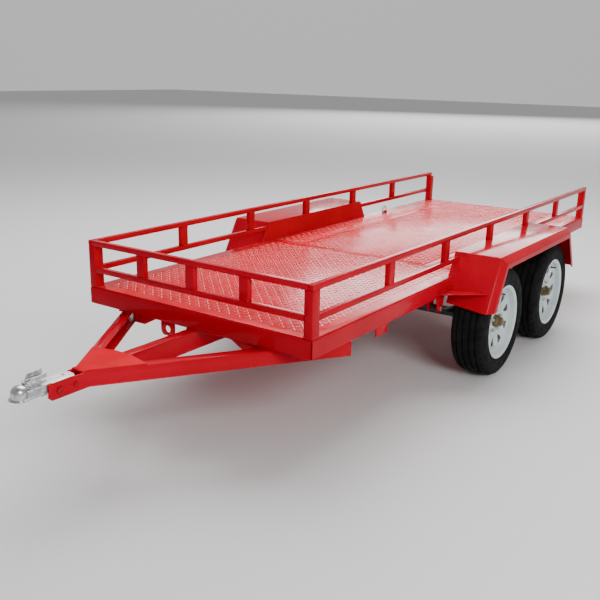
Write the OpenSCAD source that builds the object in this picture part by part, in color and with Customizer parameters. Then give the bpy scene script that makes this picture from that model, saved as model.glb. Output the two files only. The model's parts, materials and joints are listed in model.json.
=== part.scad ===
// Flat tandem-axle stock and plant trailer with a low rail fence, a vee drawbar and a ball coupler.
// X runs from the coupler (front) to the rear, Y across, Z up. The origin is on the ground, under
// the middle of the trailer. Lengths below are measured back from the front edge of the deck.

/* [Deck and frame] */
// Length of the deck
deck_len = 3500; // [3400:10:3600]
// Width over the side rails
deck_w = 1250; // [1200:10:1300]
// Height of the deck above the ground
deck_h = 540; // [535:1:550]
// Depth of the folded perimeter channel
frame_d = 80; // [70:1:90]
// Width of the channel's flanges
flange_w = 40; // [35:1:50]
// Thickness of the chequer plate
deck_t = 3; // [2:0.5:4]
// Distance of the cross seam from the front edge
seam_x = 1380; // [1300:10:1450]
// Half the width of the middle deck plate behind the cross seam
seam_y = 400; // [350:10:450]

/* [Rail fence] */
// Height of the top rail above the deck
rail_h = 217; // [200:1:240]
// Square tube size of the rails
rail_t = 25; // [20:1:30]
// Underside of the mid rail above the deck
mid_h = 68; // [60:1:80]
// Corner post size along the deck
corner_x = 50; // [40:1:60]
// Corner post size across the deck
corner_y = 42; // [35:1:50]
// Width of an intermediate post
post_w = 48; // [40:1:52]
// Place of the first side post
post_x0 = 614; // [600:1:620]
// Spacing of the side posts
post_pitch = 562; // [555:1:565]
// Distance of the outer front posts from the centre line
front_post_y = 290; // [250:5:320]

/* [Fenders] */
// Front end of the fender's flat top
fender_x0 = 1331; // [1320:1:1340]
// Rear end of the fender's flat top
fender_x1 = 2383; // [2375:1:2395]
// Height of the fender's top above the deck
fender_h = 114; // [105:1:125]
// Depth of the fender's ends below the deck
fender_low = 143; // [135:1:160]
// How far the ends slope out from the top
fender_run = 144; // [140:1:170]
// Width of the fender outside the deck
fender_w = 247; // [240:1:255]
// Width of the chamfer along the outer edge
fender_ch = 29; // [20:1:35]
// Height of the skirt below the chamfer
skirt_h = 28; // [20:1:35]
// Thickness of the sheet
sheet_t = 3; // [2:0.5:4]

/* [Wheels and axles] */
// Place of the front axle
axle_x1 = 1475; // [1470:1:1480]
// Distance between the axles
axle_pitch = 757; // [740:1:765]
// Rolling radius of the tyre
tyre_r = 285; // [280:1:288]
// Width of the tyre
tyre_w = 185; // [175:1:190]
// Radius over the rim flanges
rim_r = 195; // [190:1:197]
// Distance of the tyre's middle from the centre line
track_y = 745; // [742:1:748]
// Radius of the spindle
spindle_r = 17.5; // [15:0.5:20]

/* [Springs] */
// Half the length of a leaf spring
spring_half = 340; // [330:1:350]
// Height of the spring eyes above the ground
eye_z = 400; // [395:1:405]
// Distance of the springs from the centre line
spring_y = 595; // [593:1:597]
// Thickness of one leaf
leaf_t = 7; // [6:0.5:8]
// Width of the leaves
leaf_w = 45; // [40:1:46]

/* [Drawbar] */
// Distance from the deck to the front end of the drawbar's cheeks
head_x = 755; // [740:5:770]
// Distance from the deck to the bend of the arms
bend_x = 580; // [570:5:600]
// Half the width over the cheeks
head_y = 35; // [34:1:37]
// Splay of each arm
splay = 33.6; // [32:0.1:35]
// Depth of the arms
arm_d = 62; // [55:1:70]
// Width of the arms' flanges
arm_w = 50; // [40:1:60]
// Thickness of the arms' webs
web_t = 8; // [7:1:9]

/* [Coupler] */
// Distance from the deck to the centre of the ball
ball_x = 850; // [845:1:855]
// Radius of the ball that the socket takes
ball_r = 25; // [25:0.5:25.5]
// Height of the ball's centre
ball_z = 446; // [444:1:448]

/* [Hidden] */
$fn = 96;

red = [0.72, 0.05, 0.06];
bright_red = [0.85, 0.06, 0.08];
zinc = [0.72, 0.74, 0.75];
steel = [0.35, 0.35, 0.36];
black = [0.06, 0.06, 0.06];
white = [0.80, 0.83, 0.84];
brass = [0.62, 0.50, 0.28];

half_w = deck_w / 2;
tip_reach = 888;
deck_front = -(deck_len - tip_reach) / 2;
frame_top = deck_h - deck_t;
frame_low = frame_top - frame_d;
channel_t = 4;
lip = 5;
joint_gap = 0.3;
rail_top = deck_h + rail_h;
rail_low = rail_top - rail_t;
mid_low = deck_h + mid_h;
mid_top = mid_low + rail_t;
tube_wall = 2;
axle_x = [axle_x1, axle_x1 + axle_pitch];
axle_z = tyre_r;
fender_top = deck_h + fender_h;
fender_tip = deck_h - fender_low;
fender_fold = atan2(fender_h + fender_low, fender_run);
pad_t = 5;
arm_top = frame_low - pad_t;
arm_low = arm_top - arm_d;
arm_end_y = half_w - lip;
arm_end_x = -bend_x + (arm_end_y - head_y) / tan(splay);
flange_start = -bend_x - 20;
bolt_z = arm_low + arm_d / 2;
cheek_bolt_x = [-709, -638];
cheek_bolt_r = [8, 6];
beam_half = 25;
beam_reach = 480;
beam_low = arm_low - 22;
bearer_w = 40;
bearer_pitch = seam_x / 3;
fit_gap = 0.1;
pivot_x = -812;
pivot_z = 467;
pivot_r = 4;
lever_y = 8;
lever_w = 30;

// ---- helpers -------------------------------------------------------------------------------

module at_deck() translate([deck_front, 0, 0]) children();

module box(x, y, z) translate([x[0], y[0], z[0]]) cube([x[1] - x[0], y[1] - y[0], z[1] - z[0]]);

// Extrudes a YZ outline along X
module along_x(x) translate([x[0], 0, 0]) rotate([90, 0, 90]) linear_extrude(x[1] - x[0]) children();

// Extrudes an XZ outline along Y
module along_y(y) translate([0, y[1], 0]) rotate([90, 0, 0]) linear_extrude(y[1] - y[0]) children();

// Extrudes an XY outline along Z
module along_z(z) translate([0, 0, z[0]]) linear_extrude(z[1] - z[0]) children();

module rod_y(x, z, r, y, sides = 96)
    translate([x, y[1], z]) rotate([90, 0, 0]) cylinder(r = r, h = y[1] - y[0], $fn = sides);

module rod_z(x, y, r, z, sides = 96)
    translate([x, y, z[0]]) cylinder(r = r, h = z[1] - z[0], $fn = sides);

module both_sides() {
    children();
    mirror([0, 1, 0]) children();
}

// What is drawn on the +Y side appears on the named side: 1 is right, -1 is left
module on_side(s) mirror([0, s < 0 ? 1 : 0, 0]) children();

module tube_x(x, y, z, t = tube_wall) difference() {
    box(x, y, z);
    box([x[0] - 1, x[1] + 1], [y[0] + t, y[1] - t], [z[0] + t, z[1] - t]);
}

module tube_y(x, y, z, t = tube_wall) difference() {
    box(x, y, z);
    box([x[0] + t, x[1] - t], [y[0] - 1, y[1] + 1], [z[0] + t, z[1] - t]);
}

module tube_z(x, y, z, t = tube_wall) difference() {
    box(x, y, z);
    box([x[0] + t, x[1] - t], [y[0] + t, y[1] - t], [z[0] - 1, z[1] + 1]);
}

// ---- frame and deck ------------------------------------------------------------------------

// Outline of one mitred strip of the perimeter, w wide, on the +Y side
module side_strip(w) polygon([[0, half_w], [deck_len, half_w], [deck_len - w, half_w - w], [w, half_w - w]]);

module end_strip(w) polygon([[0, -half_w], [0, half_w], [w, half_w - w], [w, w - half_w]]);

module side_channel() {
    along_z([frame_low, frame_top]) side_strip(channel_t);
    along_z([frame_low, frame_low + channel_t]) side_strip(flange_w);
    along_z([frame_top - channel_t, frame_top]) side_strip(flange_w);
}

module end_channel() {
    along_z([frame_low, frame_top]) end_strip(channel_t);
    along_z([frame_low, frame_low + channel_t]) end_strip(flange_w);
    along_z([frame_top - channel_t, frame_top]) end_strip(flange_w);
}

module side_rail_left() color(red) at_deck() on_side(-1) side_channel();

module side_rail_right() color(red) at_deck() on_side(1) side_channel();

module front_crossmember() color(red) at_deck() end_channel();

module rear_crossmember() color(red) at_deck() translate([deck_len, 0, 0]) mirror([1, 0, 0]) end_channel();

module inner_crossmembers() {
    inside = half_w - flange_w;
    color(red) at_deck() for (i = [1 : 7])
        tube_y([i * bearer_pitch - bearer_w / 2, i * bearer_pitch + bearer_w / 2], [-inside, inside],
            [frame_top - bearer_w, frame_top], 3);
}

module corner_notches() {
    for (x = [[-1, corner_x], [deck_len - corner_x, deck_len + 1]])
        both_sides() box(x, [half_w - corner_y, half_w + 1], [frame_top - 1, deck_h + 1]);
}

module deck_front_plate() color(red) at_deck() difference() {
    box([lip, seam_x - 1], [lip - half_w, half_w - lip], [frame_top, deck_h]);
    corner_notches();
    both_sides() fender_foot_notch();
}

module deck_rear_plate() color(red) at_deck()
    box([seam_x + 1, deck_len - lip], [-seam_y + 1, seam_y - 1], [frame_top, deck_h]);

module deck_side_strips() color(red) at_deck() both_sides() difference() {
    box([seam_x + 1, deck_len - lip], [seam_y + 1, half_w - lip], [frame_top, deck_h]);
    corner_notches();
    fender_foot_notch();
}

// ---- drawbar -------------------------------------------------------------------------------

// Point of an arm's plan, on the line that lies d inside the arm's outer face
function arm_bend(d) = [-bend_x + d * tan(splay / 2), head_y - d];

function arm_tail(d) = [arm_end_x + d * sin(splay), arm_end_y - d * cos(splay)];

// Where the line that lies d inside the outer face meets the trailer's centre line
function arm_centre(d) = [arm_bend(d)[0] - arm_bend(d)[1] / tan(splay) + 0.5, 0.2];

module arm_web() polygon([
    [-head_x, head_y], arm_bend(0), arm_tail(0), arm_tail(web_t), arm_bend(web_t), [-head_x, head_y - web_t]
]);

// The flanges start just ahead of the bend and stop short of the other arm's at the centre line
module arm_flange() polygon([
    [flange_start, head_y], arm_bend(0), arm_tail(0), arm_tail(arm_w), arm_centre(arm_w), [flange_start, 0.2]
]);

module cheek_bores(extra) for (i = [0, 1])
    rod_y(cheek_bolt_x[i], bolt_z, cheek_bolt_r[i] + extra, [-head_y - 20, head_y + 20]);

module drawbar_arm() difference() {
    flange_t = 6;
    nose_cut = 12;
    union() {
        along_z([arm_low, arm_top]) arm_web();
        along_z([arm_low, arm_low + flange_t]) arm_flange();
        along_z([arm_top - flange_t, arm_top]) arm_flange();
    }
    cheek_bores(fit_gap);
    along_y([0, head_y + 1]) translate([-head_x - 1, arm_low - 1])
        polygon([[0, 0], [nose_cut + 2, 0], [0, nose_cut + 2]]);
}

module drawbar_left_arm() color(red) at_deck() on_side(-1) drawbar_arm();

module drawbar_right_arm() color(red) at_deck() on_side(1) drawbar_arm();

module drawbar_centre_beam() color(red) at_deck()
    tube_x([-500, beam_reach], [-beam_half, beam_half], [beam_low, arm_top], 4);

module drawbar_top_plate() {
    front = -600;
    wide = -400;
    back = -372;
    inset = 3;
    edge = head_y + (wide + bend_x) * tan(splay) - inset;
    color(bright_red) at_deck() along_z([arm_top, arm_top + pad_t]) polygon([
        [front, inset - head_y], [front, head_y - inset], [-bend_x, head_y - inset], [wide, edge], [back, 40],
        [back, -40], [wide, -edge], [-bend_x, inset - head_y]
    ]);
}

// Gusset plates behind the arms, and the pads that the arms and the centre beam are welded to
module drawbar_gussets() {
    plate_x = [10, 16];
    plate_y = [210, 358];
    point_y = 285;
    depth = 40;
    arm_pad_y = [366, 440];
    side_pad_x = [200, arm_end_x - 20];
    side_pad_y = [half_w - flange_w, arm_end_y - 45 * tan(splay)];
    color(red) at_deck() {
        both_sides() {
            along_x(plate_x) polygon([
                [plate_y[0], frame_low], [plate_y[1], frame_low],
                [plate_y[1], frame_low - depth], [point_y, frame_low - depth]
            ]);
            box([0, flange_w], arm_pad_y, [arm_top, frame_low]);
            box(side_pad_x, side_pad_y, [arm_top, frame_low]);
        }
        box([0, flange_w], [-beam_half, beam_half], [arm_top, frame_low]);
        box([beam_reach - bearer_w, beam_reach], [-beam_half, beam_half], [arm_top, frame_top - bearer_w]);
    }
}

module chain_lug() {
    centre_y = 150;
    hole_r = 16;
    hole_z = frame_low - 36;
    half = 40;
    foot = 30;
    color(red) at_deck() difference() {
        along_x([16, 24]) union() {
            translate([centre_y - half, hole_z]) square([2 * half, frame_low - hole_z]);
            translate([centre_y, hole_z]) intersection() {
                circle(r = half);
                translate([-half, -foot]) square([2 * half, foot + 1]);
            }
        }
        translate([0, centre_y, hole_z]) rotate([0, 90, 0]) cylinder(r = hole_r, h = 40);
    }
}

module side_brackets() {
    span = [505, 606];
    plate_t = 6;
    drop = 42;
    color(red) at_deck() both_sides() {
        box(span, [half_w - flange_w, half_w - lip], [frame_low - plate_t, frame_low]);
        box(span, [half_w - lip - plate_t, half_w - lip], [frame_low - drop, frame_low - plate_t]);
    }
}

// ---- rail fence ----------------------------------------------------------------------------

module corner_posts() color(red) at_deck() both_sides() for (x = [0, deck_len - corner_x])
    tube_z([x, x + corner_x], [half_w - corner_y, half_w], [frame_top, rail_low], 3);

module side_top_rail() tube_x([0, deck_len], [half_w - rail_t, half_w], [rail_low, rail_top]);

module top_rail_left() color(red) at_deck() on_side(-1) side_top_rail();

module top_rail_right() color(red) at_deck() on_side(1) side_top_rail();

module top_rail_front() color(red) at_deck()
    tube_y([0, rail_t], [rail_t - half_w, half_w - rail_t], [rail_low, rail_top]);

// Place along X where the fender's end plate stands at height z, on the front (1) or rear (-1) end
function slope_x(z, front) = front > 0
    ? fender_x0 - (fender_top - z) / tan(fender_fold)
    : fender_x1 + (fender_top - z) / tan(fender_fold);

module mid_rail_outline(t) polygon([
    [corner_x - (t > 0 ? 1 : 0), mid_low + t], [slope_x(mid_low, 1) - 0.2 + t, mid_low + t],
    [slope_x(mid_top, 1) - 0.2 + t, mid_top - t], [corner_x - (t > 0 ? 1 : 0), mid_top - t]
]);

module mid_rail_rear_outline(t) polygon([
    [slope_x(mid_low, -1) + 0.2 - t, mid_low + t], [deck_len - corner_x + (t > 0 ? 1 : 0), mid_low + t],
    [deck_len - corner_x + (t > 0 ? 1 : 0), mid_top - t], [slope_x(mid_top, -1) + 0.2 - t, mid_top - t]
]);

module mid_rails() color(red) at_deck() {
    both_sides() {
        difference() {
            along_y([half_w - rail_t, half_w]) mid_rail_outline(0);
            along_y([half_w - rail_t + tube_wall, half_w - tube_wall]) mid_rail_outline(tube_wall);
        }
        difference() {
            along_y([half_w - rail_t, half_w]) mid_rail_rear_outline(0);
            along_y([half_w - rail_t + tube_wall, half_w - tube_wall]) mid_rail_rear_outline(tube_wall);
        }
    }
    tube_y([0, rail_t], [corner_y - half_w, half_w - corner_y], [mid_low, mid_top]);
}

module rail_posts() color(red) at_deck() {
    both_sides() for (i = [0 : 4]) {
        x = post_x0 + i * post_pitch;
        foot = (x > fender_x0 && x < fender_x1) ? fender_top : mid_top;
        tube_z([x - post_w / 2, x + post_w / 2], [half_w - rail_t, half_w], [foot, rail_low]);
    }
    for (y = [-front_post_y, 0, front_post_y])
        tube_z([0, rail_t], [y - post_w / 2, y + post_w / 2], [mid_top, rail_low]);
}

// ---- fenders -------------------------------------------------------------------------------

// Corner i of the fender's side outline, moved d inwards: front tip, front fold, rear fold, rear tip
function fender_corner(i, d) =
    i == 0 ? [fender_x0 - fender_run + d / sin(fender_fold), fender_tip]
    : i == 1 ? [fender_x0 + d * tan(fender_fold / 2), fender_top - d]
    : i == 2 ? [fender_x1 - d * tan(fender_fold / 2), fender_top - d]
    : [fender_x1 + fender_run - d / sin(fender_fold), fender_tip];

// Facet i of the outline between two depths: 0 is the front slope, 1 the top, 2 the rear slope.
// The top is kept short of its neighbours by the weld gap, so that each plate stays its own.
module fender_facet(i, d0, d1) {
    trim = i == 1 ? joint_gap : 0;
    polygon([
        fender_corner(i, d0) + [trim, 0], fender_corner(i + 1, d0) - [trim, 0],
        fender_corner(i + 1, d1) - [trim, 0], fender_corner(i, d1) + [trim, 0]
    ]);
}

module fender_foot_notch() box(
    [slope_x(deck_h, 1) - 4, slope_x(deck_h, -1) + 4], [half_w - rail_t - sheet_t - 0.5, half_w + 1],
    [frame_top - 1, deck_h + 1]);

module fender() {
    inner_y = half_w - rail_t - sheet_t;
    fold_y = half_w + fender_w - fender_ch;
    outer_y = half_w + fender_w;
    slant = sheet_t * sqrt(2);
    end_rise = 22;
    for (i = [0 : 2]) {
        difference() {
            along_y([inner_y, fold_y]) fender_facet(i, 0, sheet_t);
            box([0, deck_len], [0, half_w + joint_gap], [0, frame_top + 0.2]);
            along_x([0, deck_len]) polygon([
                [inner_y, fender_tip - 1], [fold_y - 10, fender_tip - 1], [inner_y, fender_tip + end_rise]
            ]);
        }
        hull() {
            along_y([fold_y + joint_gap, fold_y + joint_gap + 0.1]) fender_facet(i, 0, slant);
            along_y([outer_y - sheet_t, outer_y]) fender_facet(i, fender_ch, fender_ch + 1);
        }
        along_y([outer_y - sheet_t, outer_y])
            fender_facet(i, fender_ch + 1 + joint_gap, fender_ch + 1 + skirt_h);
    }
    inset = sheet_t / sin(fender_fold) + joint_gap;
    along_y([inner_y, inner_y + sheet_t]) polygon([
        [slope_x(frame_top + 0.2, 1) + inset, frame_top + 0.2],
        [slope_x(fender_top - sheet_t, 1) + inset, fender_top - sheet_t - joint_gap],
        [slope_x(fender_top - sheet_t, -1) - inset, fender_top - sheet_t - joint_gap],
        [slope_x(frame_top + 0.2, -1) - inset, frame_top + 0.2]
    ]);
}

module fender_left() color(red) at_deck() on_side(-1) fender();

module fender_right() color(red) at_deck() on_side(1) fender();

module fender_stays() {
    stay_z = [deck_h - 59, deck_h - 55];
    reach = 165;
    out_y = half_w + fender_w - fender_ch - 18;
    side_y = half_w + joint_gap;
    front = slope_x(stay_z[0], 1) - joint_gap;
    rear = slope_x(stay_z[0], -1) + joint_gap;
    color(red) at_deck() both_sides() along_z(stay_z) {
        polygon([[front - reach, side_y], [front, side_y], [front, out_y]]);
        polygon([[rear + reach, side_y], [rear, side_y], [rear, out_y]]);
    }
}

// ---- springs -------------------------------------------------------------------------------

hanger_gap = leaf_w + 1;
hanger_t = 6;
slipper_z = eye_z - 14;
slipper_r = 6;
eye_bolt_r = 8;
hanger_run = 42;
pad_z = [eye_z + leaf_t, eye_z + leaf_t + 8];

module hanger_cheeks(x, low_z) for (y = [spring_y - hanger_gap / 2 - hanger_t, spring_y + hanger_gap / 2])
    along_y([y, y + hanger_t])
        polygon([[x[0], frame_low], [x[1], frame_low], [x[1] - 18, low_z], [x[0] + 18, low_z]]);

// A roof plate joins the two cheeks, and is the pad that a slipper end rides under
module hanger_roof(x, z) box(x, [spring_y - hanger_gap / 2, spring_y + hanger_gap / 2], z);

module spring_hangers() {
    front_eye = axle_x[0] - spring_half;
    rear_eye = axle_x[1] - spring_half;
    front_slip = axle_x[0] + spring_half;
    rear_slip = axle_x[1] + spring_half;
    color(red) at_deck() both_sides() difference() {
        union() {
            hanger_cheeks([front_eye - hanger_run, front_eye + hanger_run], eye_z - 18);
            hanger_roof([front_eye - 30, front_eye + 30], [frame_low - hanger_t, frame_low]);
            hanger_cheeks([front_slip - hanger_run, rear_eye + hanger_run], slipper_z - 12);
            hanger_roof([front_slip - 26, front_slip + 16], pad_z);
            hanger_cheeks([rear_slip - hanger_run, rear_slip + hanger_run], slipper_z - 12);
            hanger_roof([rear_slip - 26, rear_slip + 26], pad_z);
        }
        for (x = [front_eye, rear_eye]) rod_y(x, eye_z, eye_bolt_r + fit_gap, [0, half_w]);
        for (x = [front_slip, rear_slip]) rod_y(x, slipper_z, slipper_r + fit_gap, [0, half_w]);
    }
}

module cross_bolt(x, z, r, y) {
    rod_y(x, z, r, y);
    rod_y(x, z, r * 1.7, [y[0] - 4, y[0]], 6);
    rod_y(x, z, r * 1.7, [y[1] - 2, y[1] + 5], 6);
}

module spring_bolts() color(zinc) at_deck() both_sides() for (x = axle_x) {
    span = [spring_y - 29.3, spring_y + 33];
    cross_bolt(x - spring_half, eye_z, eye_bolt_r, span);
    cross_bolt(x + spring_half, slipper_z, slipper_r, span);
}

// The leaves keep a thin film of grease between them
leaves = [1, 0.72, 0.5, 0.3];
leaf_film = 0.2;
leaf_step = leaf_t + leaf_film;
beam_h = 20;
seat_t = 6;
seat_z = axle_z + beam_h + seat_t;
main_z = seat_z + (len(leaves) - 1) * leaf_step + leaf_t / 2;
sag = eye_z - main_z;
leaf_r = (spring_half * spring_half + sag * sag) / (2 * sag);
// The clamp plate is flat, so it rests on the upturned leaf at its two ends
plate_half = 38;
plate_t = 8;
clamp_top = main_z + leaf_r - sqrt(pow(leaf_r - leaf_t / 2, 2) - plate_half * plate_half) + joint_gap / 3;

// One leaf, r from the common centre of curvature, reaching half of the given length each way
module leaf(x, r, half) translate([x, spring_y + leaf_w / 2, main_z + leaf_r]) rotate([90, 0, 0])
    rotate([0, 0, -90 - asin(half / leaf_r)])
        rotate_extrude(angle = 2 * asin(half / leaf_r), $fn = 256)
            translate([r - leaf_t / 2, 0]) square([leaf_t, leaf_w]);

module leaf_spring(x) difference() {
    union() {
        for (i = [0 : len(leaves) - 1]) leaf(x, leaf_r + i * leaf_step, spring_half * leaves[i]);
        rod_y(x - spring_half, eye_z, eye_bolt_r + 7, [spring_y - leaf_w / 2, spring_y + leaf_w / 2]);
    }
    rod_y(x - spring_half, eye_z, eye_bolt_r + 0.06, [0, half_w]);
}

module front_springs() color(steel) at_deck() both_sides() leaf_spring(axle_x[0]);

module rear_springs() color(steel) at_deck() both_sides() leaf_spring(axle_x[1]);

u_leg_x = 26;
u_leg_y = 29;
u_rod_r = 5;

module u_bolt(x, y) {
    low = axle_z - beam_h - u_rod_r;
    plate_top = clamp_top + plate_t;
    for (side = [-1, 1]) {
        rod_z(x + side * u_leg_x, y, u_rod_r, [low, plate_top + 18]);
        rod_z(x + side * u_leg_x, y, 8.5, [plate_top, plate_top + 8], 6);
        translate([x + side * u_leg_x, y, low]) sphere(r = u_rod_r, $fn = 32);
    }
    translate([x - u_leg_x, y, low]) rotate([0, 90, 0]) cylinder(r = u_rod_r, h = 2 * u_leg_x);
}

module spring_clamps(x) both_sides() {
    plate_y = [spring_y - plate_half, spring_y + plate_half];
    for (dy = [-u_leg_y, u_leg_y]) u_bolt(x, spring_y + dy);
    difference() {
        box([x - plate_half, x + plate_half], plate_y, [clamp_top, clamp_top + plate_t]);
        for (dx = [-u_leg_x, u_leg_x], dy = [-u_leg_y, u_leg_y])
            rod_z(x + dx, spring_y + dy, u_rod_r + fit_gap, [clamp_top - 1, clamp_top + plate_t + 1]);
    }
    box([x - beam_h, x + beam_h], [spring_y - 22, spring_y + 22], [axle_z + beam_h, seat_z]);
}

module front_spring_clamps() color(zinc) at_deck() spring_clamps(axle_x[0]);

module rear_spring_clamps() color(zinc) at_deck() spring_clamps(axle_x[1]);

stop_low = clamp_top + plate_t + 26;
stop_top = frame_low - 36;

module bump_stops() color(black) at_deck() both_sides() for (x = axle_x)
    translate([x, spring_y, 0]) rotate_extrude() polygon([
        [0, stop_low], [10, stop_low], [15, stop_low + 6], [18, stop_top], [0, stop_top]
    ]);

module bump_stop_brackets() color(red) at_deck() both_sides() for (x = axle_x)
    tube_x([x - 25, x + 25], [spring_y - 25, spring_y + 25], [stop_top, frame_low], 4);

// ---- axles and wheels ----------------------------------------------------------------------

module axle_beam(x) {
    beam_y = 636;
    wall = 4;
    plug = beam_h - wall;
    spindle_y = track_y + 59;
    collar_r = 28;
    tube_y([x - beam_h, x + beam_h], [-beam_y, beam_y], [axle_z - beam_h, axle_z + beam_h], wall);
    both_sides() {
        rod_y(x, axle_z, spindle_r, [beam_y - 20, spindle_y]);
        box([x - plug, x + plug], [beam_y - 40, beam_y], [axle_z - plug, axle_z + plug]);
        rod_y(x, axle_z, collar_r, [beam_y, beam_y + 6]);
    }
}

module front_axle_beam() color(black) at_deck() axle_beam(axle_x[0]);

module rear_axle_beam() color(black) at_deck() axle_beam(axle_x[1]);

// Turns an outline of [radius, distance outwards] into a wheel part on the +Y side
module wheel_turn(x) translate([x, track_y, axle_z]) rotate([-90, 0, 0]) rotate_extrude($fn = 128) children();

// Repeats its child around the wheel's axis, the first one at the given angle
module around_wheel(x, count, first) translate([x, track_y, axle_z]) rotate([-90, 0, 0])
    for (i = [0 : count - 1]) rotate([0, 0, first + i * 360 / count]) children();

// An outline that is the same on both sides of the wheel's middle
function mirrored(half) = concat(half, [for (i = [len(half) - 1 : -1 : 0]) [half[i][0], -half[i][1]]]);

face = 33;
stud_circle_r = 57.15;
stud_r = 6;
bead_r = 177.5;
rim_half = 85;
flange_edge = 3;
drop_r = 158;
rim_wall = 3.5;

module tyre(x) wheel_turn(x) difference() {
    polygon(mirrored([
        [bead_r, rim_half - 13.3], [rim_r - 12.8, rim_half - 5.4], [rim_r + 0.3, rim_half - 3.4],
        [rim_r + 0.3, rim_half + 0.4], [rim_r + 6, rim_half + 3.5], [rim_r + 30, tyre_w / 2],
        [rim_r + 48, tyre_w / 2 - 1], [tyre_r - 18, tyre_w / 2 - 9], [tyre_r - 6, tyre_w / 2 - 15],
        [tyre_r, tyre_w / 2 - 25]
    ]));
    polygon(mirrored([
        [bead_r - 1, tyre_w / 2 - 34], [bead_r, tyre_w / 2 - 34], [rim_r + 30, tyre_w / 2 - 12],
        [tyre_r - 20, tyre_w / 2 - 20], [tyre_r - 14, tyre_w / 2 - 32]
    ]));
}

module hand_hole() linear_extrude(60)
    polygon([[96, -4], [96, 4], [120, 19], [132, 17], [135, 0], [132, -17], [120, -19]]);

module rim(x) difference() {
    seat = bead_r - 0.2;
    union() {
        wheel_turn(x) polygon([
            [rim_r, rim_half], [rim_r, rim_half - flange_edge], [rim_r - 13, rim_half - 5],
            [seat, 72], [seat, 50], [drop_r, 38], [drop_r, -15], [seat, -30], [seat, -72],
            [rim_r - 13, 5 - rim_half], [rim_r, flange_edge - rim_half], [rim_r, -rim_half],
            [rim_r - 15, 2 - rim_half], [seat - rim_wall, -74], [seat - rim_wall, -32],
            [drop_r - rim_wall, -17], [drop_r - rim_wall, 40], [seat - rim_wall, 52],
            [seat - rim_wall, 74], [rim_r - 15, rim_half - 2]
        ]);
        wheel_turn(x) polygon([
            [drop_r - 1.5, 24], [drop_r - 1.5, 30], [146, 52], [134, 56], [95, 50], [78, face + 5],
            [33, face + 5], [33, face], [79, face], [97, 45], [134, 51], [142, 48], [150, 24]
        ]);
    }
    around_wheel(x, 8, 22.5) translate([0, 0, 20]) hand_hole();
    around_wheel(x, 5, 18) translate([stud_circle_r, 0, 0]) cylinder(r = stud_r + 0.5, h = 60, $fn = 48);
}

module hub(x) difference() {
    wheel_turn(x) polygon([
        [0, 84], [22, 84], [25, 78], [25, 62], [31, 62], [32, face], [72, face], [72, face - 10],
        [42, face - 10], [42, -88], [0, -88]
    ]);
    rod_y(x, axle_z, spindle_r + 0.05, [track_y - 100, track_y + 62]);
    around_wheel(x, 5, 18) translate([stud_circle_r, 0, 0]) cylinder(r = stud_r + fit_gap, h = 60, $fn = 48);
}

module wheel_nuts(x) around_wheel(x, 5, 18) translate([stud_circle_r, 0, face - 16]) {
    cylinder(r = stud_r, h = 40, $fn = 48);
    cylinder(r = 9, h = 5.8, $fn = 48);
    translate([0, 0, 21.2]) cylinder(r = 10.5, h = 15, $fn = 6);
}

module tyre_front_left() color(black) at_deck() on_side(-1) tyre(axle_x[0]);

module tyre_front_right() color(black) at_deck() on_side(1) tyre(axle_x[0]);

module tyre_rear_left() color(black) at_deck() on_side(-1) tyre(axle_x[1]);

module tyre_rear_right() color(black) at_deck() on_side(1) tyre(axle_x[1]);

module rim_front_left() color(white) at_deck() on_side(-1) rim(axle_x[0]);

module rim_front_right() color(white) at_deck() on_side(1) rim(axle_x[0]);

module rim_rear_left() color(white) at_deck() on_side(-1) rim(axle_x[1]);

module rim_rear_right() color(white) at_deck() on_side(1) rim(axle_x[1]);

module hub_front_left() color(brass) at_deck() on_side(-1) hub(axle_x[0]);

module hub_front_right() color(brass) at_deck() on_side(1) hub(axle_x[0]);

module hub_rear_left() color(brass) at_deck() on_side(-1) hub(axle_x[1]);

module hub_rear_right() color(brass) at_deck() on_side(1) hub(axle_x[1]);

module nuts_front_left() color(zinc) at_deck() on_side(-1) wheel_nuts(axle_x[0]);

module nuts_front_right() color(zinc) at_deck() on_side(1) wheel_nuts(axle_x[0]);

module nuts_rear_left() color(zinc) at_deck() on_side(-1) wheel_nuts(axle_x[1]);

module nuts_rear_right() color(zinc) at_deck() on_side(1) wheel_nuts(axle_x[1]);

// ---- lashing ring --------------------------------------------------------------------------

ring_x = 2680;
ring_y = 566;
ring_r = 22;
ring_t = 4;
ring_z = deck_h + 8;
ring_lean = 12;

module ring_bracket() color(red) at_deck() difference() {
    box([ring_x - 16, ring_x + 16], [ring_y - 12, ring_y + 12], [deck_h, ring_z + 7]);
    translate([ring_x - 17, ring_y, ring_z]) rotate([0, 90, 0]) cylinder(r = ring_t + fit_gap, h = 34);
    box([ring_x - 8, ring_x + 8], [ring_y - 13, ring_y + 13], [deck_h + 3, ring_z + 8]);
}

// A welded ring whose straight foot lies in the bracket
module lashing_ring() color(zinc) at_deck() translate([ring_x, ring_y, ring_z]) rotate([-ring_lean, 0, 0]) {
    rise = 18;
    translate([0, 0, rise]) rotate([90, 0, 0]) rotate_extrude(angle = 180, $fn = 64)
        translate([ring_r, 0]) circle(r = ring_t, $fn = 32);
    for (side = [-1, 1]) {
        translate([side * ring_r, 0, 0]) cylinder(r = ring_t, h = rise, $fn = 32);
        translate([side * ring_r, 0, 0]) sphere(r = ring_t, $fn = 32);
    }
    translate([-ring_r, 0, 0]) rotate([0, 90, 0]) cylinder(r = ring_t, h = 2 * ring_r, $fn = 32);
}

// ---- coupler -------------------------------------------------------------------------------

tail_half = head_y - web_t - joint_gap;
socket_wall = 5;
mouth_z = ball_z - 22;
socket_r = ball_r + 0.4;
body_top = arm_top + 2;
cover_bolt_x = [-740, -662];
cover_bolt_r = 4;
cover_x = [-752, -634];
tail_end = -612;
tail_low = arm_low + 8;
ear_y = [lever_y - lever_w / 2 - 3.6, lever_y + lever_w / 2 + 0.6];

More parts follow.
